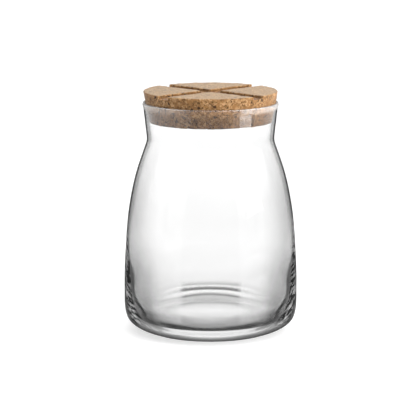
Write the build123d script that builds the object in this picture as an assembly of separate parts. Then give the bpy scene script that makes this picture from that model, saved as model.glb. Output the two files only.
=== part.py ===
from build123d import *
import os

# Blown glass storage jar with a tapered cork stopper.
# Millimetres, +Z up. The origin is the centre of the foot, on the surface that the jar stands on.

# Jar, outside: a wide belly low down, long shoulders, a narrow neck and a gently flared mouth
jar_height = 200.0
mouth_length = 31.2
belly_diameter = 150.0
belly_height = 40.0
heel_height = 26.5
neck_diameter = 110.8
mouth_diameter = 116.2
foot_diameter = 103.0
foot_ring_width = 4.0
punt_rise = 1.5
punt_slope_width = 9.0

# Jar, lip: the fire-polished bead, and how far below its top the stopper seats
bead_height = 4.5
bead_overhang = 0.4
bead_arcs = 4
seat_drop = 1.5

# Jar, glass thickness: thin above, very heavy at the base
body_wall = 2.3
base_wall = 7.4
mouth_wall = 1.8
floor_thickness = 10.2
floor_diameter = 94.0

# Stopper: one tapered disc of pressed cork granules with a cross cut into its top
stopper_proud = 10.0
plug_depth = 16.5
seat_clearance = 0.3
toe_clearance = 1.0
toe_bevel = 0.8
crown_bevel = 0.6
groove_width = 11.5
groove_depth = 2.8
groove_turn = 45.0
cut_overrun = 5.0

# Heel, outside: how steeply it leaves the foot ring, then where its arcs meet, as shares of the
# way out from the foot ring to the belly and of the way up to the top of the heel
heel_slope = 0.195
heel_shares = [(0.766, 0.309), (0.932, 0.532)]

# Corner of the floor, inside: the same, from the flat floor out and up to the wall at the belly
corner_shares = [(0.495, 0.084), (0.675, 0.208), (0.854, 0.483)]

# Shoulders: share of the height from belly to neck, share of the radius from neck to belly,
# and share of the thickening from body wall to base wall
shoulder_shares = [
    (0.10, 0.993, 0.72),
    (0.24, 0.948, 0.33),
    (0.44, 0.858, 0.05),
    (0.645, 0.653, 0.0),
    (0.78, 0.440, 0.0),
    (0.875, 0.232, 0.0),
    (0.955, 0.055, 0.0),
]

# Mouth: stations up the flare from neck to seat, and the power of its curve
flare_shares = [0.3, 0.6]
flare_power_share = 1.2

belly_radius = belly_diameter / 2
neck_radius = neck_diameter / 2
mouth_radius = mouth_diameter / 2
foot_radius = foot_diameter / 2
floor_radius = floor_diameter / 2
base_wall_radius = belly_radius - base_wall
neck_height = jar_height - mouth_length
seat_height = jar_height - seat_drop
bead_bottom = jar_height - bead_height
toe_height = jar_height - plug_depth
crown_height = jar_height + stopper_proud
half_turn = 180.0
full_turn = 360.0
upright = Vector(0, 0, 1)
outward = Vector(1, 0, 0)


def between(low, high, share):
    return low + (high - low) * share


def at(radius, height):
    return Vector(radius, 0, height)


# The flare leaves the neck upright and leans out steadily up to the seat
def flare_outer(height):
    share = (height - neck_height) / (seat_height - neck_height)
    return between(neck_radius, mouth_radius, share**flare_power_share)


def flare_inner(height):
    share = (height - neck_height) / (seat_height - neck_height)
    return flare_outer(height) - between(body_wall, mouth_wall, share)


def flare_points(radius_at, top_height):
    heights = [between(neck_height, seat_height, share) for share in flare_shares]
    return [at(radius_at(height), height) for height in [neck_height, *heights, top_height]]


# Height, outside radius and glass thickness at each station of the shoulder
def shoulder_stations():
    stations = []
    for height_share, radius_share, wall_share in shoulder_shares:
        height = between(belly_height, neck_height, height_share)
        radius = between(neck_radius, belly_radius, radius_share)
        wall = between(body_wall, base_wall, wall_share)
        stations.append((height, radius, wall))
    return stations


# Arcs that run on smoothly from one another through the points
def smooth_arcs(points, start_tangent):
    arcs = []
    tangent = start_tangent
    for start, end in zip(points, points[1:]):
        arc = TangentArc(start, end, tangent=tangent)
        tangent = arc % 1
        arcs.append(arc)
    return arcs


# A flat ring to stand on, round a shallow push-up in the middle
def foot_edges():
    ring_inside = foot_radius - foot_ring_width
    corners = [at(0, punt_rise), at(ring_inside - punt_slope_width, punt_rise)]
    corners += [at(ring_inside, 0), at(foot_radius, 0)]
    return Polyline(corners).edges()


# The underside leaves the ring at a low angle, turns through a tight corner and ends upright
def heel_edges():
    points = [at(foot_radius, 0)]
    for out_share, up_share in heel_shares:
        points.append(at(between(foot_radius, belly_radius, out_share), heel_height * up_share))
    points.append(at(belly_radius, heel_height))
    return smooth_arcs(points, outward + upright * heel_slope)


def outer_wall_edges():
    points = [at(belly_radius, belly_height)]
    points += [at(radius, height) for height, radius, wall in shoulder_stations()]
    points.append(at(neck_radius, neck_height))
    belly = Line(at(belly_radius, heel_height), points[0])
    shoulder = Spline(points, tangents=[upright, upright])
    return [belly, shoulder, Spline(flare_points(flare_outer, bead_bottom))]


# The lip swells outwards a little and is melted round over the top
def lip_edges():
    outside = mouth_radius + bead_overhang
    inside = flare_inner(seat_height)
    radius = (outside - inside) / 2
    centre = at(inside + radius, jar_height - radius)
    swell = Line(at(flare_outer(bead_bottom), bead_bottom), at(outside, centre.Z))
    side = at(radius, 0)
    turn = half_turn / bead_arcs
    points = [centre + side.rotate(Axis.Y, -turn * step) for step in range(bead_arcs + 1)]
    round_top = smooth_arcs(points, upright)
    drop = Line(at(inside, centre.Z), at(inside, seat_height))
    return [swell, *round_top, drop]


# The inside has its own corner at the floor, then follows the outside at the wall's thickness
def inner_wall_edges():
    points = [at(floor_radius, floor_thickness)]
    for out_share, up_share in corner_shares:
        radius = between(floor_radius, base_wall_radius, out_share)
        points.append(at(radius, between(floor_thickness, belly_height, up_share)))
    points.append(at(base_wall_radius, belly_height))
    corner = smooth_arcs(points, outward)
    points = [at(base_wall_radius, belly_height)]
    points += [at(radius - wall, height) for height, radius, wall in shoulder_stations()]
    points.append(at(neck_radius - body_wall, neck_height))
    shoulder = Spline(points, tangents=[corner[-1] % 1, upright])
    return [*corner, shoulder, Spline(flare_points(flare_inner, seat_height))]


def make_jar():
    floor = Line(at(0, floor_thickness), at(floor_radius, floor_thickness))
    centre = Line(at(0, punt_rise), at(0, floor_thickness))
    edges = [*foot_edges(), *heel_edges(), *outer_wall_edges(), *lip_edges()]
    edges += [*inner_wall_edges(), floor, centre]
    return revolve(make_face(edges), axis=Axis.Z, revolution_arc=full_turn, clean=False)


# The plug is a straight cone: it clears the mouth least at the seat and most at its toe
def stopper_radius(height):
    seat = flare_inner(seat_height) - seat_clearance
    toe = flare_inner(toe_height) - toe_clearance
    return between(toe, seat, (height - toe_height) / (seat_height - toe_height))


def make_blank():
    toe = at(stopper_radius(toe_height), toe_height)
    crown = at(stopper_radius(crown_height), crown_height)
    outline = Polyline(at(0, toe_height), toe, crown, at(0, crown_height), close=True)
    return revolve(make_face(outline), axis=Axis.Z, revolution_arc=full_turn)


# Two straight grooves cross at right angles and run out through the stopper's side
def cut_grooves(blank):
    length = (stopper_radius(crown_height) + cut_overrun) * 2
    cutter = Box(length, groove_width, groove_depth + cut_overrun)
    lift = crown_height + (cut_overrun - groove_depth) / 2
    for turn in (groove_turn, groove_turn + half_turn / 2):
        blank -= Location((0, 0, lift), (0, 0, turn)) * cutter
    return blank


# Every edge of the top is worn to a small bevel, and so is the edge of the toe
def make_stopper():
    stopper = cut_grooves(make_blank())
    quadrants = stopper.faces().sort_by(Axis.Z)[-4:]
    stopper = chamfer(quadrants.edges(), crown_bevel)
    toe = stopper.faces().sort_by(Axis.Z)[0]
    return chamfer(toe.edges(), toe_bevel)


nodes = {"glass_jar": make_jar(), "cork_stopper": make_stopper()}

os.makedirs("parts", exist_ok=True)
for name, shape in nodes.items():
    export_step(shape, f"parts/{name}.step")
    print(name, "volume", round(shape.volume), "height", round(shape.bounding_box().size.Z, 2))
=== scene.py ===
import math
from types import SimpleNamespace

import bmesh
import bpy
from mathutils import Matrix, Vector


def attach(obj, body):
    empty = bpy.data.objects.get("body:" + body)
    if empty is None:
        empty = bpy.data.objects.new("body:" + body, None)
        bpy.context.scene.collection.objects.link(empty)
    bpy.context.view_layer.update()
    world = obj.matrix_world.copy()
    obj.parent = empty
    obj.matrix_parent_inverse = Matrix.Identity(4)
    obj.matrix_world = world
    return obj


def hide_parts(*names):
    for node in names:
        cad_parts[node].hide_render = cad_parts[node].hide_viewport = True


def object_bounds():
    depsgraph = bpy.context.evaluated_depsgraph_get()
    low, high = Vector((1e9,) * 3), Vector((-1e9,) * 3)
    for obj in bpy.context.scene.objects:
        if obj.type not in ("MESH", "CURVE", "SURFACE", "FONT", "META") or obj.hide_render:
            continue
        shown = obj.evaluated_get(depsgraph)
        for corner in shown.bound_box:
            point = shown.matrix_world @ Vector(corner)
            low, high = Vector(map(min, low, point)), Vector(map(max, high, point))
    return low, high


bl_info = {
    "name": "Glass Jar with Cork Stopper",
    "version": (1, 0, 0),
    "blender": (4, 5, 0),
    "location": "View3D > Sidebar > Glass Jar",
    "description": "Blown glass storage jar with a cross-cut cork stopper, and its studio",
    "category": "Object",
}

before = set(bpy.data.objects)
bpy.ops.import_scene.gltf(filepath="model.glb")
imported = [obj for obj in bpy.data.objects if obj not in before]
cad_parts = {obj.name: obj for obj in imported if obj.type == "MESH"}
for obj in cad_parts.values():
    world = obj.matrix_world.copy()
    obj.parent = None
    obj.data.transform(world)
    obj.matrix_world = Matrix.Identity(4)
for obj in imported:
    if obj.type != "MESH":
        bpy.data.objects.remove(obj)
cad_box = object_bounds()

# The jar's width and the glass's height in metres, from the frame. The stopper stands past the
# glass, so the height is the glass node's own.
JAR_BELLY = 2 * cad_box[1][0]
JAR_HEIGHT = max(vertex.co.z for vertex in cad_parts["glass_jar"].data.vertices)

# The glass is drawn as radius and height in millimetres, for a jar of this size
DRAWN_BELLY = 150
DRAWN_HEIGHT = 200

# Outside, from the middle of the foot over its ring and up the heel, the belly and the neck
OUTSIDE = [
    (0.0, 0.6), (12.0, 0.6), (22.0, 0.6), (30.0, 0.56), (36.5, 0.42), (40.5, 0.22), (43.4, 0.05),
    (45.4, 0.0), (47.6, 0.0), (49.6, 0.0), (50.6, 0.14), (52.3, 0.62), (55.2, 1.6), (58.0, 2.55),
    (60.8, 3.65), (63.5, 4.92), (66.0, 6.4), (68.0, 7.83), (69.6, 9.22), (70.85, 10.6),
    (71.9, 12.15), (72.7, 13.95), (73.4, 16.2), (73.98, 18.9), (74.42, 21.9), (74.65, 24.8),
    (74.75, 28.0), (74.75, 33.0), (74.75, 40.0), (74.72, 47.0), (74.58, 54.0), (74.23, 62.0),
    (73.78, 70.0), (73.34, 78.0), (72.85, 86.0), (72.2, 94.0), (71.35, 102.0), (70.25, 110.0),
    (68.9, 118.0), (67.35, 126.0), (65.75, 133.0), (63.9, 140.0), (62.0, 146.0), (60.1, 151.5),
    (58.34, 156.5), (56.73, 161.0), (55.54, 164.4), (54.92, 167.0), (54.84, 169.4),
    (55.11, 172.5), (55.54, 176.5), (56.16, 181.5), (56.79, 187.0), (57.32, 192.0),
    (57.65, 194.6), (57.95, 195.9), (58.35, 197.0), (58.55, 198.1),
]

# The melted lip, from the outside over its top
LIP = [
    (58.48, 199.1), (58.2, 199.75), (57.8, 200.05), (57.33, 200.12), (56.88, 200.05),
    (56.47, 199.72), (56.26, 199.1),
]

# Inside, from the mouth down the wall, round the corner and to the middle of the thick floor
INSIDE = [
    (56.28, 198.2), (56.15, 197.2), (55.61, 193.0), (54.87, 187.5), (54.15, 182.0), (53.44, 177.0),
    (52.96, 173.0), (52.65, 170.0), (52.56, 167.5), (53.08, 165.0), (54.21, 161.5), (55.66, 157.5),
    (57.25, 153.1), (59.0, 148.1), (61.0, 142.0), (62.75, 136.0), (64.45, 129.0), (65.9, 122.0),
    (67.3, 114.0), (68.7, 106.0), (69.75, 98.0), (70.42, 90.0), (70.92, 82.0), (71.15, 75.0),
    (71.3, 68.0), (71.1, 62.0), (70.6, 56.0), (69.9, 50.0), (69.2, 44.5), (68.55, 38.5),
    (67.85, 33.0), (66.85, 28.0), (65.85, 24.6), (65.1, 22.3), (64.4, 20.2), (63.6, 18.2),
    (62.5, 16.2), (61.14, 14.45), (59.48, 13.0), (57.4, 11.85), (54.9, 11.0), (52.0, 10.45),
    (49.0, 10.22), (46.0, 10.2), (36.0, 10.2), (24.0, 10.2), (12.0, 10.2), (0.0, 10.2),
]

# How finely the outline is spun and smoothed, and how near two points are one, in metres
SPIN_STEPS = 48
SMOOTH_LEVELS = 2
SAME_POINT = 1e-6

# Heights in metres between which the glass changes: where it gets a body's thickness and then a
# base's, where the lip begins, and where the inside turns into the corner. The last lies just
# under the cavity's floor.
BODY_GLASS = (0.172, 0.105)
HEAVY_GLASS = (0.104, 0.080)
LIP_BEGINS = (0.1938, 0.1968)
INSIDE_CORNER = (0.024, 0.017)
UNDER_FLOOR = 0.0095

# How far up or down a surface's normal points where it counts as a floor, an underside or the
# foot, and how far out, at most, where it counts as the inside
FACES_UP = (0.25, 0.45)
FACES_DOWN = (-0.2, -0.6)
FOOT_DOWN = -0.9
FACES_IN = 0.02

# The facing at which a ray inside the glass is caught there, for the ripples and for the foot
CAUGHT_FACING = (0.24, 0.27)
STEEP_FACING = (0.22, 0.28)

# The swirls: how they lean, in radians, and how they are drawn out along X, Y and Z
SWIRL_LEAN = (-0.35, 0.0, 0.0)
SWIRL_STRETCH = (0.4, 0.13, 1.0)

# The painted dark edge goes by the facing times this, and by what the wall's thickness adds to it
FACING_SHARE = 0.8

# The painted rings of shade in metres: where they lie, as radius and height added up, and how far
# they wander
RING_BAND = (0.0398, 0.0998)
RING_WANDER = 0.0022

# The painted dark line at the foot climbs this many centimetres where the wall turns edge on
FOOT_CLIMB = 1.7

# The painted pale sheen of the lip, the painted glow at the foot and the light passing into the
# shadow
LIP_PAINTED_SHEEN = (0.95, 0.90, 0.86, 1)
FOOT_PAINTED_GLOW = (0.92, 0.92, 0.92, 1)
SHADOW_LIGHT = (0.97, 0.97, 0.97, 1)

# The cork's surface: how finely it is remeshed, and its relief in metres, as name, kind, size and
# depth, with the brightness of the texture at two of its levels
CORK_VOXEL = 0.00065
CORK_RELIEF = (
    ("uneven", "CLOUDS", 0.011, 0.0005, ((0.2, 0.0), (0.8, 1.0))),
    ("granules", "VORONOI", 0.0030, 0.0003, ((0.0, 0.5), (0.6, 0.0))),
    ("pits", "CLOUDS", 0.0019, 0.0010, ((0.22, 0.0), (0.34, 0.5))),
)

# The cork's pattern, as features to the width of a granule
LARGE_GRANULES = 0.62
SMALL_GRANULES = 1.3
WARPS = 0.9
FIBRES = 3.2
PATCHES = 0.16

# The cork's depths, as shares of the width of a granule: the warp of its edges and its bumps
WARP_REACH = 0.9
BUMP_DEPTH = 0.16

# The share of the cork that large granules cover, how strongly the fibres change its shade and
# round which value, how dark the rich granules are, and how deep the seams lie in the bumps
LARGE_SHARE = 0.42
FIBRE_CONTRAST = 0.55
FIBRE_MIDDLE = 0.27
RICH_SHADE = 0.62
SEAM_DEPTH = 0.7

# The cork's top: heights over which the painted sheen comes in at the level top and the painted
# shade of the grooves begins below it, how far from the middle the grooves' cut faces end, in
# metres, and how far up a level face points
TOP_SHEEN_HEIGHTS = (0.2084, 0.2092)
SUNK_BELOW = (0.2094, 0.2086)
CUT_REACH = (0.0555, 0.0545)
LEVEL_FACE = (0.5, 0.9)
# The colour and share of the painted sheen on top, and the tint of the painted shade in the grooves
TOP_SHEEN_COLOUR = (0.36, 0.31, 0.23, 1)
TOP_SHEEN_SHARE = 0.4
GROOVE_SHADE_TINT = (0.58, 0.54, 0.48, 1)

# The studio, in metres and degrees
FLOOR_RADIUS = 6.0
FLOOR_DROP = 0.0002
FLOOR_SIDES = 96
TOP_LIGHT_TURN = (25, 8, 0)
TOP_LIGHT_SPREAD = 75
STRIP_PLACE = (0.42, -0.19, 0.32)
STRIP_TARGET = (0, 0, 0.15)
STRIP_SIZE = (0.2, 0.64)
RIGHT_CARD = ((0.146, -0.141, 0.13), (0.182, -0.078, 0.13))
RIGHT_CARD_HEIGHT = 0.055
RIGHT_CARD_GLOW = 4.6
LEFT_CARD = (
    (-0.10, -0.173, 0.133), (-0.141, -0.141, 0.133), (-0.173, -0.10, 0.133),
    (-0.193, -0.052, 0.133), (-0.2, 0.0, 0.133),
)
LEFT_CARD_HEIGHT = 0.035
LEFT_CARD_GLOW = 1.3

# The light that the floor adds to its own: everywhere, where the camera sees it, mirrored, and
# through the glass far off and in the painted pool of light and shade under the jar
FLOOR_GLOW = 0.13
SEEN_GLOW = 0.17
MIRRORED_GLOW = 0.03
FAR_GLOW = 0.09
PAINTED_POOL_GLOW = 1.45

# Where those begin and end, as distances from the jar's middle, and the painted pool's front and
# back
FAR_OFF = (0.5, 0.95)
POOL_EDGE = (0.32, 0.10)
POOL_SPAN = (-0.075, 0.05)

# The dim wedge in front, round the camera: half its width for each metre ahead, where its painted
# shade begins on the floor, and how dark that painted shade is there
WEDGE_SPREAD = 0.8
WEDGE_BEGINS = (0.15, 0.30)
WEDGE_SHARE = 0.6

# The directions over which the left soft box gives way to the right one, and the ceiling brightens
BOXES_MEET = (-0.3, 0.3)
CEILING_RISE = (0.45, 0.75)

# The camera: how far from the middle of the jar, how steeply it looks down, and its framing
CAMERA_DISTANCE = 2.45
CAMERA_TILT = 9.7
CAMERA_AIM = JAR_HEIGHT / 2
CAMERA_LENS = 242.6
CAMERA_SHIFT = (-0.0013, 0.0157)
CAMERA_REACH = 50

WHITE = (1, 1, 1, 1)
BLACK = (0, 0, 0, 1)


class JarGlass(bpy.types.PropertyGroup):
    belly: bpy.props.FloatProperty(
        name="Belly", description="Width of the jar at its widest", default=JAR_BELLY,
        min=0.05, max=0.4, subtype="DISTANCE", unit="LENGTH")
    height: bpy.props.FloatProperty(
        name="Height", description="Height of the glass without its stopper",
        default=JAR_HEIGHT, min=0.05, max=0.6, subtype="DISTANCE", unit="LENGTH")
    ripple: bpy.props.FloatProperty(
        name="Ripple", description="Depth of the ripples that blowing leaves in the thick glass",
        default=0.00012, min=0, max=0.002, subtype="DISTANCE", unit="LENGTH")


class JarCork(bpy.types.PropertyGroup):
    light: bpy.props.FloatVectorProperty(
        name="Light granules", description="Colour of the palest granules",
        default=(0.62, 0.375, 0.18), min=0, max=1, subtype="COLOR")
    middle: bpy.props.FloatVectorProperty(
        name="Middle granules", description="Colour of most granules",
        default=(0.372, 0.188, 0.070), min=0, max=1, subtype="COLOR")
    dark: bpy.props.FloatVectorProperty(
        name="Dark bark", description="Colour of the specks of bark",
        default=(0.07, 0.035, 0.016), min=0, max=1, subtype="COLOR")
    granule: bpy.props.FloatProperty(
        name="Granule", description="Width of the pressed granules", default=0.0012,
        min=0.0005, max=0.01, subtype="DISTANCE", unit="LENGTH")


class JarStudio(bpy.types.PropertyGroup):
    floor: bpy.props.FloatVectorProperty(
        name="Floor", description="Colour of the floor", default=(0.86, 0.86, 0.86),
        min=0, max=1, subtype="COLOR")
    key: bpy.props.FloatProperty(
        name="Key light", description="Power of the strip light at the right",
        default=2.5, min=0, max=200, unit="POWER")
    top: bpy.props.FloatProperty(
        name="Top light", description="Strength of the large soft light overhead",
        default=2.2, min=0, max=20)
    room: bpy.props.FloatProperty(
        name="Room", description="Brightness of the light that the room gives back",
        default=0.3, min=0, max=2)
    overhead: bpy.props.FloatProperty(
        name="Overhead", description="Brightness of the soft box overhead as the glass shows it",
        default=3.5, min=0, max=10)
    left_box: bpy.props.FloatProperty(
        name="Left soft box",
        description="Brightness of the soft box that the glass mirrors at the left",
        default=3.0, min=0, max=10)
    right_box: bpy.props.FloatProperty(
        name="Right soft box",
        description="Brightness of the soft box that the glass mirrors at the right",
        default=5.0, min=0, max=10)


def link(obj):
    bpy.context.scene.collection.objects.link(obj)
    return obj


def finish_mesh(name, mesh_edit, material):
    mesh = bpy.data.meshes.new(name)
    mesh_edit.to_mesh(mesh)
    mesh_edit.free()
    mesh.materials.append(material)
    mesh.shade_smooth()
    return link(bpy.data.objects.new(name, mesh))


def new_material(name):
    material = bpy.data.materials.new(name)
    material.use_nodes = True
    material.node_tree.nodes.clear()
    return material, material.node_tree


def node(tree, kind, inputs=None, **settings):
    made = tree.nodes.new(kind)
    for key, value in settings.items():
        setattr(made, key, value)
    for key, value in (inputs or {}).items():
        if isinstance(value, bpy.types.NodeSocket):
            tree.links.new(value, made.inputs[key])
        else:
            made.inputs[key].default_value = value
    return made


def maths(tree, operation, *values, clamp=False):
    return node(tree, "ShaderNodeMath", dict(enumerate(values)),
                operation=operation, use_clamp=clamp).outputs[0]


def vector_maths(tree, operation, *values):
    made = node(tree, "ShaderNodeVectorMath", dict(enumerate(values)), operation=operation)
    return made.outputs["Value" if operation in ("LENGTH", "DOT_PRODUCT") else "Vector"]


# Runs from low to high while the value goes from start to end
def fade(tree, value, start, end, low=0.0, high=1.0):
    return node(tree, "ShaderNodeMapRange", {
        "Value": value, "From Min": start, "From Max": end,
        "To Min": low, "To Max": high}).outputs["Result"]


def ramp(tree, value, stops):
    made = node(tree, "ShaderNodeValToRGB", {"Fac": value})
    elements = made.color_ramp.elements
    while len(elements) > 1:
        elements.remove(elements[-1])
    for index, (position, colour) in enumerate(stops):
        element = elements[0] if index == 0 else elements.new(position)
        element.position = position
        element.color = (*colour, 1)
    return made.outputs["Color"]


# A ramp of greys, from stops of position and brightness
def shades(tree, value, stops):
    return ramp(tree, value, [(position, (shade,) * 3) for position, shade in stops])


def blend(tree, share, first, second):
    return node(tree, "ShaderNodeMix", {0: share, 6: first, 7: second}, data_type="RGBA").outputs[2]


def tint(tree, colour, other):
    return node(tree, "ShaderNodeMix", {0: 1.0, 6: colour, 7: other},
                data_type="RGBA", blend_type="MULTIPLY").outputs[2]


def scaled(tree, colour, strength):
    return node(tree, "ShaderNodeVectorMath", {0: colour, "Scale": strength},
                operation="SCALE").outputs["Vector"]


# 0 where a ray meets the surface squarely, 1 where it only grazes it
def facing(tree, **inputs):
    return node(tree, "ShaderNodeLayerWeight", {"Blend": 0.5, **inputs}).outputs["Facing"]


def noise(tree, place, **inputs):
    return node(tree, "ShaderNodeTexNoise", {"Vector": place, **inputs}).outputs


def split(tree, vector):
    return node(tree, "ShaderNodeSeparateXYZ", {"Vector": vector}).outputs


# The part of a place that lies level, away from the jar's middle
def level_part(tree, place):
    return vector_maths(tree, "MULTIPLY", place, (1, 1, 0))


def emission(tree, colour, strength=1.0):
    return node(tree, "ShaderNodeEmission", {"Color": colour, "Strength": strength}).outputs[0]


def mix_shaders(tree, share, first, second):
    return node(tree, "ShaderNodeMixShader", {0: share, 1: first, 2: second}).outputs[0]


# What the parts of the glass material share. Radial points straight out from the jar's middle,
# and square is the facing that an upright wall would have there. Within is 1 for a ray that meets
# the surface from inside the glass. The normal is then shown turned over, and true_up turns it
# back, to tell the floor of the cavity, which faces up, from the foot.
def glass_measures(tree):
    glass = SimpleNamespace()
    glass.place = node(tree, "ShaderNodeTexCoord").outputs["Object"]
    glass.height = split(tree, glass.place)["Z"]
    glass.decimetres = maths(tree, "MULTIPLY", glass.height, 10.0)
    glass.heavy = fade(tree, glass.height, *HEAVY_GLASS)
    glass.lip = fade(tree, glass.height, *LIP_BEGINS)
    surface = node(tree, "ShaderNodeNewGeometry").outputs
    glass.normal = surface["Normal"]
    glass.within = surface["Backfacing"]
    across = level_part(tree, glass.place)
    glass.radius = vector_maths(tree, "LENGTH", across)
    glass.radial = vector_maths(tree, "NORMALIZE", across)
    glass.outward = vector_maths(tree, "DOT_PRODUCT", glass.normal, glass.radial)
    glass.facing = facing(tree)
    glass.square = facing(tree, Normal=glass.radial)
    sense = maths(tree, "MULTIPLY_ADD", glass.within, -2.0, 1.0)
    glass.true_up = maths(tree, "MULTIPLY", split(tree, glass.normal)["Z"], sense)
    glass.swirls = glass_swirls(tree, glass.place)
    return glass


# Swirls that blowing draws through the glass, longer across than upwards and leaning a little
def glass_swirls(tree, place):
    leaning = node(tree, "ShaderNodeMapping", {"Vector": place, "Rotation": SWIRL_LEAN})
    drawn = node(tree, "ShaderNodeMapping", {
        "Vector": leaning.outputs["Vector"], "Scale": SWIRL_STRETCH})
    return noise(tree, drawn.outputs["Vector"],
                 Scale=560.0, Detail=1.5, Roughness=0.6, Distortion=0.4)["Fac"]


# Painted shade on the heavy glass low down: it is painted dark near its edge, with clearer
# streaks through the dark. That edge reaches further in towards the foot, where the wall is
# thicker.
def marbled_painted_shade(tree, glass):
    thicker = shades(tree, glass.decimetres, [
        (0.0, 0.28), (0.19, 0.256), (0.35, 0.152), (0.48, 0.124), (0.63, 0.096), (0.80, 0.024),
        (0.90, 0), (1.0, 0)])
    edge = maths(tree, "MULTIPLY_ADD", glass.facing, FACING_SHARE, thicker)
    clear = [(0.0, 0.985), (0.25, 0.98), (0.40, 0.90), (0.50, 0.80), (0.60, 0.72)]
    painted_edge_shade = shades(tree, edge, clear + [
        (0.616, 0.68), (0.636, 0.12), (0.712, 0.07), (0.792, 0.07), (0.856, 0.13), (0.904, 0.25),
        (1.0, 0.25)])
    painted_streak_shade = shades(tree, edge, clear + [
        (0.64, 0.80), (0.736, 0.82), (0.80, 0.55), (0.856, 0.20), (0.904, 0.28), (1.0, 0.28)])
    streak = shades(tree, glass.swirls, [(0.0, 0), (0.51, 0), (0.54, 1), (1.0, 1)])
    return blend(tree, streak, painted_edge_shade, painted_streak_shade)


# Painted shade on the wall met from the air, darker where a ray grazes it: thin at the neck and the
# lip, thicker in the body, and marbled on the outside of the base, where its left and right are
# painted darker than its middle
def outer_wall_painted_shade(tree, glass):
    neck = shades(tree, glass.facing, [
        (0.0, 1.0), (0.50, 1.0), (0.66, 0.98), (0.74, 0.90), (0.79, 0.50), (0.83, 0.16),
        (0.88, 0.07), (1.0, 0.03)])
    lip = shades(tree, glass.facing, [(0.0, 1), (0.7, 1), (0.9, 0.55), (1.0, 0.4)])
    body = shades(tree, glass.facing, [
        (0.0, 0.983), (0.18, 0.983), (0.25, 0.975), (0.34, 0.94), (0.42, 0.88), (0.52, 0.80),
        (0.62, 0.75), (0.72, 0.72), (0.77, 0.48), (0.82, 0.18), (0.90, 0.05), (1.0, 0.02)])
    base = shades(tree, glass.facing, [
        (0.0, 0.983), (0.25, 0.975), (0.42, 0.88), (0.52, 0.80), (0.62, 0.75), (0.72, 0.72),
        (0.85, 0.72), (0.95, 0.66), (1.0, 0.5)])
    sides = shades(tree, glass.square, [
        (0.0, 1.0), (0.06, 1.0), (0.20, 0.68), (0.30, 0.36), (0.36, 0.25), (0.50, 0.27),
        (0.60, 0.7), (1.0, 0.7)])
    low = shades(tree, glass.decimetres, [
        (0.0, 0.3), (0.10, 0.3), (0.14, 0.55), (0.20, 1), (0.24, 1), (0.35, 0.62), (0.48, 0.45),
        (0.65, 0.32), (0.90, 0.1), (1.0, 0)])
    outside = maths(tree, "GREATER_THAN", glass.outward, 0.0)
    base_outside = maths(tree, "MULTIPLY", outside, glass.heavy)
    colour = blend(tree, glass.lip, neck, lip)
    colour = blend(tree, fade(tree, glass.height, *BODY_GLASS), colour, body)
    colour = blend(tree, glass.heavy, colour, base)
    colour = blend(tree, base_outside, colour, marbled_painted_shade(tree, glass))
    sideways = maths(tree, "MULTIPLY", low, base_outside)
    return tint(tree, colour, blend(tree, sideways, WHITE, sides))


# Painted shade on the wall met from inside the glass: past the angle at which light no longer
# gets out it is painted dark, in the heavy base only as a fine line
def inner_wall_painted_shade(tree, glass):
    caught = shades(tree, glass.facing, [
        (0.0, 1.0), (0.20, 1.0), (0.24, 0.95), (0.26, 0.50), (0.30, 0.22), (1.0, 0.15)])
    escaping = shades(tree, glass.facing, [
        (0.0, 1.0), (0.247, 1.0), (0.256, 0.2), (0.270, 0.15), (0.281, 0.9), (1.0, 0.85)])
    colour = blend(tree, glass.heavy, caught, escaping)
    return blend(tree, fade(tree, glass.height, *INSIDE_CORNER), colour, WHITE)


# Painted shade on the floor of the cavity and the corner round it, with a painted dark crease
# that the thick glass shows there from within, which fades towards the left and right
def cavity_floor_painted_shade(tree, glass):
    corner = shades(tree, glass.facing, [
        (0.0, 0.95), (0.30, 0.88), (0.50, 0.80), (0.70, 0.82), (0.80, 1.0), (1.0, 1.0)])
    crease = shades(tree, glass.facing, [
        (0.0, 1.0), (0.10, 1.0), (0.16, 0.60), (0.195, 0.12), (0.22, 0.03), (0.31, 0.03),
        (0.345, 0.8), (1.0, 0.97)])
    softened = shades(tree, glass.square, [
        (0.0, 0), (0.07, 0), (0.14, 0.25), (0.20, 0.6), (0.33, 0.8), (0.50, 0.5), (1.0, 0.3)])
    return blend(tree, glass.within, corner, blend(tree, softened, crease, WHITE))


# A painted dark line at the foot, met from the air, which climbs towards the left and right
def painted_foot_line(tree, glass):
    climb = maths(tree, "MULTIPLY", glass.square, -FOOT_CLIMB)
    centimetres = maths(tree, "MULTIPLY_ADD", glass.height, 100.0, climb)
    rim = shades(tree, centimetres, [
        (0.0, 0.10), (0.12, 0.15), (0.30, 0.19), (0.42, 0.26), (0.55, 0.42), (0.65, 0.62),
        (0.76, 1), (1.0, 1)])
    return blend(tree, glass.within, rim, WHITE)
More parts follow.
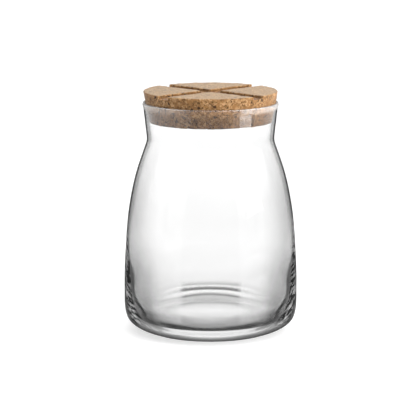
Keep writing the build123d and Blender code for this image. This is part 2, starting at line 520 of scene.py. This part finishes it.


# Painted shade in fine rings low on the inside, which wander a little and show only in the middle
# of the far wall.
# Aside is how far to the left or right of the jar's middle the ray passes, in decimetres.
def painted_ring_shade(tree, glass):
    tangent = vector_maths(tree, "CROSS_PRODUCT", glass.radial, (0, 0, 1))
    sideways = maths(tree, "SUBTRACT", 1.0, facing(tree, Normal=tangent))
    aside = maths(tree, "MULTIPLY", maths(tree, "MULTIPLY", sideways, glass.radius), 10.0)
    middle = shades(tree, aside, [(0.0, 1), (0.228, 1), (0.268, 0.3), (0.46, 0), (1.0, 0)])
    along = maths(tree, "ADD", glass.radius, glass.height)
    wander = noise(tree, glass.place, Scale=28.0, Detail=1.0)["Fac"]
    level = fade(tree, maths(tree, "MULTIPLY_ADD", wander, RING_WANDER, along), *RING_BAND)
    rings = shades(tree, level, [
        (0.0, 0.97), (0.055, 0.82), (0.125, 0.70), (0.195, 0.64), (0.23, 0.72), (0.265, 0.78),
        (0.335, 0.81), (0.40, 0.85), (0.433, 0.83), (0.45, 0.70), (0.476, 0.32), (0.493, 0.40),
        (0.515, 0.74), (0.54, 1.0), (0.575, 1.0), (0.585, 0.5), (0.597, 0.26), (0.612, 0.18),
        (0.627, 0.32), (0.65, 0.58), (0.662, 0.86), (0.687, 0.86), (0.70, 0.60), (0.725, 0.62),
        (0.745, 0.74), (0.768, 0.88), (0.805, 0.97), (0.847, 0.99), (1.0, 1.0)])
    share = maths(tree, "MULTIPLY", maths(tree, "SUBTRACT", 1.0, glass.within), middle)
    share = maths(tree, "MULTIPLY", share, maths(tree, "LESS_THAN", glass.outward, FACES_IN))
    share = maths(tree, "MULTIPLY", share, maths(tree, "GREATER_THAN", glass.height, UNDER_FLOOR))
    return blend(tree, share, WHITE, rings)


# All the painted shade of the glass, as one colour that tints the clear glass
def glass_painted_shade(tree, glass):
    walls = blend(
        tree, glass.within, outer_wall_painted_shade(tree, glass), inner_wall_painted_shade(tree, glass))
    upward = maths(tree, "MULTIPLY", fade(tree, glass.true_up, *FACES_UP), glass.heavy)
    colour = blend(tree, upward, walls, cavity_floor_painted_shade(tree, glass))
    downward = fade(tree, glass.true_up, *FACES_DOWN)
    colour = blend(tree, downward, colour, painted_foot_line(tree, glass))
    return tint(tree, colour, painted_ring_shade(tree, glass))


# The ripples bend only the rays that the heavy glass catches, so the rest of the jar stays clear
def rippled_normal(tree, glass, depth):
    bump = node(tree, "ShaderNodeBump", {
        "Height": glass.swirls, "Strength": 1.0, "Distance": depth}).outputs["Normal"]
    caught = maths(tree, "MULTIPLY", fade(tree, glass.facing, *CAUGHT_FACING), glass.within)
    caught = maths(tree, "MULTIPLY", caught, glass.heavy)
    return node(tree, "ShaderNodeMix", {0: caught, 4: glass.normal, 5: bump},
                data_type="VECTOR").outputs[1]


# Clear glass with painted shade: grey where a ray meets it at a low angle, and dark where the ray
# is then caught inside a thick wall, as glass looks before a white background between dark sides.
# The thin glass of the neck shows that only as a fine line, and the thick glass low down has swirls
# in it.
def glass_material(settings):
    material, tree = new_material("clear_blown_glass")
    glass = glass_measures(tree)
    shader = node(tree, "ShaderNodeBsdfGlass", {
        "Color": glass_painted_shade(tree, glass), "Roughness": 0.0, "IOR": 1.5,
        "Normal": rippled_normal(tree, glass, settings.ripple)}).outputs[0]

    # A painted pale sheen on the melted lip, towards its left and right
    sheen = shades(tree, glass.square, [(0.0, 0), (0.06, 0), (0.20, 0.17), (1.0, 0.22)])
    sheen = maths(tree, "MULTIPLY", sheen, glass.lip)
    pale = node(tree, "ShaderNodeBsdfDiffuse", {"Color": LIP_PAINTED_SHEEN}).outputs[0]
    shader = mix_shaders(tree, sheen, shader, pale)

    # Painted light: the foot glows where light would be passed on along the thick floor
    foot = maths(tree, "LESS_THAN", glass.true_up, FOOT_DOWN)
    foot = maths(tree, "MULTIPLY", foot, glass.within)
    foot = maths(tree, "MULTIPLY", foot, fade(tree, glass.facing, *STEEP_FACING))
    shader = mix_shaders(tree, foot, shader, emission(tree, FOOT_PAINTED_GLOW))

    # The glass throws hardly any shadow
    path = node(tree, "ShaderNodeLightPath").outputs
    clear = node(tree, "ShaderNodeBsdfTransparent", {"Color": SHADOW_LIGHT}).outputs[0]
    shader = mix_shaders(tree, path["Is Shadow Ray"], shader, clear)
    node(tree, "ShaderNodeOutputMaterial", {"Surface": shader})
    return material


# Cells that each have three chance values, as the red, green and blue of a colour
def granule_shades(tree, place, scale):
    cells = node(tree, "ShaderNodeTexVoronoi", {"Vector": place, "Scale": scale})
    return node(tree, "ShaderNodeSeparateColor", {"Color": cells.outputs["Color"]}).outputs


# Pressed cork: granules of two sizes, each of its own shade, with dark bark between them
def granule_colour(tree, settings, cork):
    size = settings.granule
    large = granule_shades(tree, cork.warped, LARGE_GRANULES / size)
    small = granule_shades(tree, cork.warped, SMALL_GRANULES / size)
    which = maths(tree, "GREATER_THAN", large["Green"], LARGE_SHARE)
    shade = node(tree, "ShaderNodeMix", {0: which, 2: large["Red"], 3: small["Red"]}).outputs[0]
    shade = maths(tree, "MULTIPLY_ADD", cork.fibres, FIBRE_CONTRAST, shade)
    shade = maths(tree, "SUBTRACT", shade, FIBRE_MIDDLE)
    dark, middle, light = tuple(settings.dark), tuple(settings.middle), tuple(settings.light)
    rich = tuple(value * RICH_SHADE for value in middle)
    colour = ramp(tree, shade, [
        (0.0, dark), (0.07, dark), (0.16, rich), (0.38, middle), (0.62, middle), (0.95, light)])
    patches = noise(tree, cork.place, Scale=PATCHES / size, Detail=2.0)["Fac"]
    patch = shades(tree, patches, [(0.0, 0.75), (0.4, 0.9), (0.6, 1.05), (1.0, 1.2)])
    return tint(tree, tint(tree, colour, cork.seam), patch)


# A painted sheen that makes the level top paler, and painted shade that darkens the cut faces
# in the grooves
def painted_sheen_and_groove_shade(tree, colour, place):
    up = split(tree, node(tree, "ShaderNodeNewGeometry").outputs["Normal"])["Z"]
    height = split(tree, place)["Z"]
    top_sheen = fade(tree, up, *LEVEL_FACE, high=TOP_SHEEN_SHARE)
    top_sheen = maths(tree, "MULTIPLY", top_sheen, fade(tree, height, *TOP_SHEEN_HEIGHTS))
    colour = blend(tree, top_sheen, colour, TOP_SHEEN_COLOUR)
    away = vector_maths(tree, "LENGTH", level_part(tree, place))
    cut = fade(tree, away, *CUT_REACH)
    cut = maths(tree, "MAXIMUM", cut, fade(tree, up, *LEVEL_FACE))
    cut = maths(tree, "MULTIPLY", cut, fade(tree, height, *SUNK_BELOW))
    return blend(tree, cut, colour, tint(tree, colour, GROOVE_SHADE_TINT))


def cork_material(settings):
    material, tree = new_material("pressed_cork")
    size = settings.granule
    cork = SimpleNamespace()
    cork.place = node(tree, "ShaderNodeTexCoord").outputs["Object"]
    warp = noise(tree, cork.place, Scale=WARPS / size, Detail=2.0, Roughness=0.6)["Color"]
    cork.warped = vector_maths(
        tree, "MULTIPLY_ADD", warp, (size * WARP_REACH,) * 3, cork.place)
    cork.fibres = noise(tree, cork.place, Scale=FIBRES / size, Detail=3.0, Roughness=0.7)["Fac"]
    seams = node(tree, "ShaderNodeTexVoronoi", {
        "Vector": cork.warped, "Scale": SMALL_GRANULES / size}, feature="DISTANCE_TO_EDGE")
    cork.seam = shades(tree, seams.outputs["Distance"], [
        (0.0, 0.45), (0.05, 0.8), (0.12, 1), (1.0, 1)])
    colour = granule_colour(tree, settings, cork)
    relief = maths(tree, "MULTIPLY_ADD", cork.seam, SEAM_DEPTH, cork.fibres)
    bump = node(tree, "ShaderNodeBump", {
        "Height": relief, "Strength": 0.8, "Distance": size * BUMP_DEPTH})
    shader = node(tree, "ShaderNodeBsdfPrincipled", {
        "Base Color": painted_sheen_and_groove_shade(tree, colour, cork.place),
        "Roughness": shades(tree, cork.fibres, [(0.3, 0.48), (0.7, 0.68)]),
        "Specular IOR Level": 0.15, "Sheen Weight": 0.1, "Sheen Roughness": 0.5,
        "Normal": bump.outputs["Normal"]})
    node(tree, "ShaderNodeOutputMaterial", {"Surface": shader.outputs[0]})
    return material


def relief_texture(name, kind, size, stops):
    texture = bpy.data.textures.new(name, kind)
    texture.noise_scale = size
    texture.use_color_ramp = True
    elements = texture.color_ramp.elements
    for element, (position, value) in zip(elements, stops):
        element.position = position
        element.color = (value, value, value, 1)
    return texture


# The kinds of ray, then which rays show the studio to the camera, straight or by way of the glass,
# and which of them the glass has mirrored
def ray_kinds(tree):
    path = node(tree, "ShaderNodeLightPath").outputs
    mirror, through = path["Is Glossy Ray"], path["Is Transmission Ray"]
    seen = maths(tree, "ADD", path["Is Camera Ray"], mirror)
    seen = maths(tree, "ADD", seen, through, clamp=True)
    mirrored = maths(tree, "SUBTRACT", mirror, through, clamp=True)
    return path, seen, mirrored


# Below 0 inside the dim wedge of the studio that lies in front, round the camera
def past_wedge(tree, where):
    side = maths(tree, "ABSOLUTE", where["X"])
    return maths(tree, "MULTIPLY_ADD", where["Y"], WEDGE_SPREAD, side)


# A pale floor that is nearly white to the camera and keeps the shadow. Through the glass it shows
# a painted pool of light and shade beneath the jar, and mirrored in the glass its front has
# painted shade.
def floor_material(settings):
    material, tree = new_material("pale_floor")
    path, seen, mirrored = ray_kinds(tree)
    through = path["Is Transmission Ray"]
    place = node(tree, "ShaderNodeTexCoord").outputs["Object"]
    where = split(tree, place)
    away = vector_maths(tree, "LENGTH", place)

    own = node(tree, "ShaderNodeBsdfDiffuse", {"Color": (*settings.floor, 1)}).outputs[0]
    glow = maths(tree, "MULTIPLY_ADD", path["Is Camera Ray"], SEEN_GLOW, FLOOR_GLOW)
    far_glow = fade(tree, away, *FAR_OFF, high=FAR_GLOW)
    glow = maths(tree, "MULTIPLY_ADD", through, far_glow, glow)
    glow = maths(tree, "MULTIPLY_ADD", mirrored, MIRRORED_GLOW, glow)
    lit = node(tree, "ShaderNodeAddShader", {0: own, 1: emission(tree, WHITE, glow)}).outputs[0]

    # The painted pool of light and shade, as the glass shows it under the jar
    painted_pool = shades(tree, fade(tree, where["Y"], *POOL_SPAN), [
        (0.0, 0.76), (0.10, 0.79), (0.248, 0.79), (0.264, 0.50), (0.28, 0.28), (0.32, 0.28),
        (0.344, 0.30), (0.40, 0.42), (0.456, 0.53), (0.504, 0.68), (0.552, 0.80), (0.672, 0.96),
        (0.704, 0.95), (0.84, 0.75), (0.96, 0.66), (1.0, 0.65)])
    beneath = maths(tree, "MULTIPLY", fade(tree, away, *POOL_EDGE), through)
    lit = mix_shaders(tree, beneath, lit, emission(tree, painted_pool, PAINTED_POOL_GLOW))

    # Painted shade on the floor in front, only where the glass mirrors it
    front = maths(tree, "LESS_THAN", past_wedge(tree, where), 0.0)
    front = maths(tree, "MULTIPLY", front, mirrored)
    front = maths(tree, "MULTIPLY", front, fade(tree, away, *WEDGE_BEGINS, high=WEDGE_SHARE))
    lit = mix_shaders(tree, front, lit, emission(tree, BLACK))
    node(tree, "ShaderNodeOutputMaterial", {"Surface": mix_shaders(tree, seen, own, lit)})
    return material


# A white room that lights the jar softly. The glass shows it with a brighter ceiling, and where
# it mirrors it, with a soft box at the left and right and the dim wedge in front.
def room_shader(tree, settings):
    path, seen, mirrored = ray_kinds(tree)
    way = split(tree, node(tree, "ShaderNodeTexCoord").outputs["Generated"])
    wedge = shades(tree, past_wedge(tree, way), [(0.0, 0.45), (0.02, 1.0), (1.0, 1.0)])
    raised = shades(tree, way["Z"], [(0.0, 0), (0.45, 1), (0.60, 1), (0.80, 0), (1.0, 0)])
    forward = shades(tree, way["Y"], [(0.0, 1), (0.15, 1), (0.4, 0), (1.0, 0)])
    strength = fade(
        tree, way["X"], *BOXES_MEET, low=settings.left_box, high=settings.right_box)
    strength = maths(tree, "MULTIPLY", strength, raised)
    strength = maths(tree, "MULTIPLY", strength, forward)
    strength = maths(tree, "MAXIMUM", strength, 1.0)
    colour = blend(tree, mirrored, WHITE, scaled(tree, wedge, strength))
    ceiling = fade(tree, way["Z"], *CEILING_RISE, low=1.0, high=settings.overhead)
    colour = scaled(tree, colour, ceiling)
    colour = blend(tree, path["Is Camera Ray"], colour, WHITE)
    shown = node(tree, "ShaderNodeBackground", {"Color": colour, "Strength": 1.0})
    given = node(tree, "ShaderNodeBackground", {"Color": WHITE, "Strength": settings.room})
    return mix_shaders(tree, seen, given.outputs[0], shown.outputs[0])


class JAR_OT_glass(bpy.types.Operator):
    """Spins the outline of the blown glass into the jar"""

    bl_idname = "jar.glass"
    bl_label = "Glass Jar"

    def execute(self, context):
        settings = context.scene.jar_glass
        wide, high = settings.belly / DRAWN_BELLY, settings.height / DRAWN_HEIGHT
        mesh_edit = bmesh.new()
        outline = [
            mesh_edit.verts.new((radius * wide, 0, height * high))
            for radius, height in OUTSIDE + LIP + INSIDE
        ]
        edges = [mesh_edit.edges.new(pair) for pair in zip(outline, outline[1:])]
        bmesh.ops.spin(
            mesh_edit, geom=outline + edges, cent=(0, 0, 0), axis=(0, 0, 1), dvec=(0, 0, 0),
            angle=math.tau, steps=SPIN_STEPS, use_merge=True)
        bmesh.ops.remove_doubles(mesh_edit, verts=mesh_edit.verts, dist=SAME_POINT)
        # Smoothing draws each ring of points inwards, so they start this much further out
        swell = 3 / (2 + math.cos(math.tau / SPIN_STEPS))
        bmesh.ops.scale(mesh_edit, vec=(swell, swell, 1), verts=mesh_edit.verts)
        bmesh.ops.recalc_face_normals(mesh_edit, faces=mesh_edit.faces)
        jar = finish_mesh("blown_glass_jar", mesh_edit, glass_material(settings))
        smooth = jar.modifiers.new("smooth", "SUBSURF")
        smooth.levels = smooth.render_levels = SMOOTH_LEVELS
        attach(jar, "jar")
        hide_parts("glass_jar")
        return {"FINISHED"}


class JAR_OT_stopper(bpy.types.Operator):
    """Grains and wears the cork stopper"""

    bl_idname = "jar.stopper"
    bl_label = "Cork Stopper"

    def execute(self, context):
        settings = context.scene.jar_cork
        mesh_edit = bmesh.new()
        mesh_edit.from_mesh(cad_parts["cork_stopper"].data)
        bmesh.ops.remove_doubles(mesh_edit, verts=mesh_edit.verts, dist=SAME_POINT)
        cork = finish_mesh("cork_stopper_grained", mesh_edit, cork_material(settings))
        remesh = cork.modifiers.new("granules", "REMESH")
        remesh.mode = "VOXEL"
        remesh.voxel_size = CORK_VOXEL
        remesh.use_smooth_shade = True
        for name, kind, size, depth, stops in CORK_RELIEF:
            wear = cork.modifiers.new(name, "DISPLACE")
            wear.texture = relief_texture(name, kind, size, stops)
            wear.texture_coords = "LOCAL"
            wear.strength = depth
            wear.mid_level = 0.5
        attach(cork, "stopper")
        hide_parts("cork_stopper")
        return {"FINISHED"}


class JAR_OT_studio(bpy.types.Operator):
    """Sets up the floor, the soft lights, the room and the camera"""

    bl_idname = "jar.studio"
    bl_label = "Studio"

    def execute(self, context):
        scene = context.scene
        settings = scene.jar_studio
        scene.view_settings.view_transform = "Standard"
        self.floor(settings)
        self.top_light(settings)
        self.strip_light(settings)
        self.card("right_card", RIGHT_CARD, RIGHT_CARD_HEIGHT, RIGHT_CARD_GLOW)
        self.card("left_card", LEFT_CARD, LEFT_CARD_HEIGHT, LEFT_CARD_GLOW)
        self.room(scene, settings)
        self.camera(scene)
        return {"FINISHED"}

    def floor(self, settings):
        mesh_edit = bmesh.new()
        bmesh.ops.create_circle(
            mesh_edit, cap_ends=True, segments=FLOOR_SIDES, radius=FLOOR_RADIUS,
            matrix=Matrix.Translation((0, 0, -FLOOR_DROP)))
        finish_mesh("floor", mesh_edit, floor_material(settings))

    # The glass shows the soft boxes of the room and the cards, and not the lamps themselves
    def lamp(self, name, kind, strength):
        data = bpy.data.lights.new(name, kind)
        data.energy = strength
        lamp = link(bpy.data.objects.new(name, data))
        lamp.visible_glossy = False
        lamp.visible_transmission = False
        return lamp

    def top_light(self, settings):
        lamp = self.lamp("top_light", "SUN", settings.top)
        lamp.data.angle = math.radians(TOP_LIGHT_SPREAD)
        lamp.rotation_euler = [math.radians(angle) for angle in TOP_LIGHT_TURN]

    def strip_light(self, settings):
        lamp = self.lamp("strip_light", "AREA", settings.key)
        lamp.data.shape = "RECTANGLE"
        lamp.data.size, lamp.data.size_y = STRIP_SIZE
        lamp.location = STRIP_PLACE
        aim = Vector(STRIP_TARGET) - Vector(STRIP_PLACE)
        lamp.rotation_euler = aim.to_track_quat("-Z", "Y").to_euler()

    # A small glowing card that only mirror-like surfaces see, raised from its lower edge
    def card(self, name, corners, height, strength):
        material, tree = new_material(name)
        node(tree, "ShaderNodeOutputMaterial", {"Surface": emission(tree, WHITE, strength)})
        mesh_edit = bmesh.new()
        low = [mesh_edit.verts.new(corner) for corner in corners]
        side = [mesh_edit.edges.new(pair) for pair in zip(low, low[1:])]
        raised = bmesh.ops.extrude_edge_only(mesh_edit, edges=side)["geom"]
        bmesh.ops.translate(
            mesh_edit, vec=(0, 0, height),
            verts=[part for part in raised if isinstance(part, bmesh.types.BMVert)])
        card = finish_mesh(name, mesh_edit, material)
        for ray in ("camera", "diffuse", "shadow", "volume_scatter"):
            setattr(card, "visible_" + ray, False)

    def room(self, scene, settings):
        scene.world = bpy.data.worlds.new("room")
        scene.world.use_nodes = True
        tree = scene.world.node_tree
        tree.nodes.clear()
        node(tree, "ShaderNodeOutputWorld", {"Surface": room_shader(tree, settings)})

    def camera(self, scene):
        data = bpy.data.cameras.new("camera")
        data.lens = CAMERA_LENS
        data.shift_x, data.shift_y = CAMERA_SHIFT
        data.clip_end = CAMERA_REACH
        tilt = math.radians(CAMERA_TILT)
        scene.camera = link(bpy.data.objects.new("camera", data))
        scene.camera.location = (
            0, -CAMERA_DISTANCE * math.cos(tilt), CAMERA_AIM + CAMERA_DISTANCE * math.sin(tilt))
        scene.camera.rotation_euler = (math.pi / 2 - tilt, 0, 0)


class JAR_PT_panel(bpy.types.Panel):
    """Lists the jar's pieces, their sizes and their colours"""

    bl_label = "Glass Jar"
    bl_space_type = "VIEW_3D"
    bl_region_type = "UI"
    bl_category = "Glass Jar"

    def draw(self, context):
        scene = context.scene
        for group, operator in (
            (scene.jar_glass, JAR_OT_glass),
            (scene.jar_cork, JAR_OT_stopper),
            (scene.jar_studio, JAR_OT_studio),
        ):
            box = self.layout.box()
            for name in group.__annotations__:
                box.prop(group, name)
            box.operator(operator.bl_idname)


CLASSES = (
    JarGlass, JarCork, JarStudio, JAR_OT_glass, JAR_OT_stopper, JAR_OT_studio, JAR_PT_panel,
)


def register():
    for entry in CLASSES:
        bpy.utils.register_class(entry)
    bpy.types.Scene.jar_glass = bpy.props.PointerProperty(type=JarGlass)
    bpy.types.Scene.jar_cork = bpy.props.PointerProperty(type=JarCork)
    bpy.types.Scene.jar_studio = bpy.props.PointerProperty(type=JarStudio)


def unregister():
    del bpy.types.Scene.jar_studio
    del bpy.types.Scene.jar_cork
    del bpy.types.Scene.jar_glass
    for entry in reversed(CLASSES):
        bpy.utils.unregister_class(entry)


def main():
    register()
    bpy.ops.jar.studio()
    bpy.ops.jar.glass()
    bpy.ops.jar.stopper()


if __name__ == "__main__":
    main()
